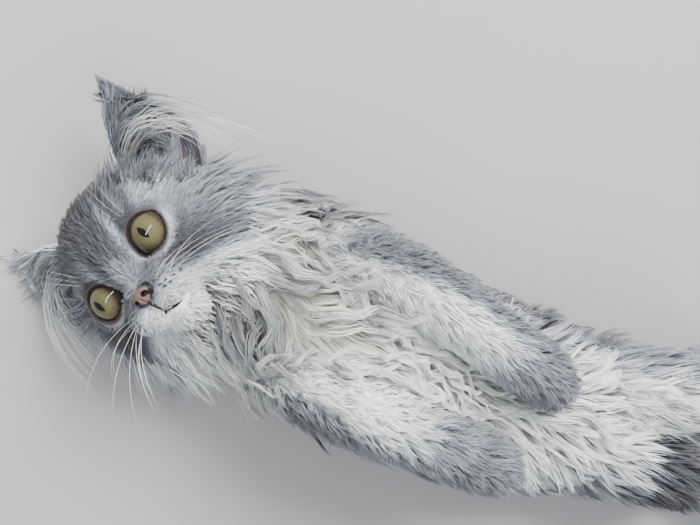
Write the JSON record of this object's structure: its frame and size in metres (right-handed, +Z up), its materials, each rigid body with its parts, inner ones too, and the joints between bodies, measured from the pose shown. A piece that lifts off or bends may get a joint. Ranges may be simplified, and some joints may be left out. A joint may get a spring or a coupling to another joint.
{
  "type": "persian cat",
  "caption": "Life-size still model of a long-haired silver persian kitten lying on its back, forelegs folded on its chest.",
  "frame": {"origin": "on the floor, under the middle of the torso's back", "axes": "+X from the head to the tail, +Y to the cat's left, +Z up, towards the belly"},
  "size_m": [0.6212, 0.148, 0.1087],
  "materials": {
    "silver_fur": "matte",
    "white_fur": "matte",
    "nose_leather": "satin",
    "eye": "gloss"
  },
  "bodies": {
    "root": {"belly": "white_fur", "chest": "white_fur", "ear_left": "silver_fur", "ear_right": "silver_fur", "eye_left": "eye", "eye_right": "eye", "foreleg_left": "silver_fur", "foreleg_right": "silver_fur", "forepaw_left": "white_fur", "forepaw_right": "white_fur", "head": "silver_fur", "hindfoot_left": "white_fur", "hindfoot_right": "white_fur", "hindleg_left": "silver_fur", "hindleg_right": "silver_fur", "hips": "silver_fur", "neck": "white_fur", "nose": "nose_leather", "tail_base": "silver_fur", "tail_middle": "silver_fur", "tail_tip": "silver_fur"}
  },
  "joints": []
}
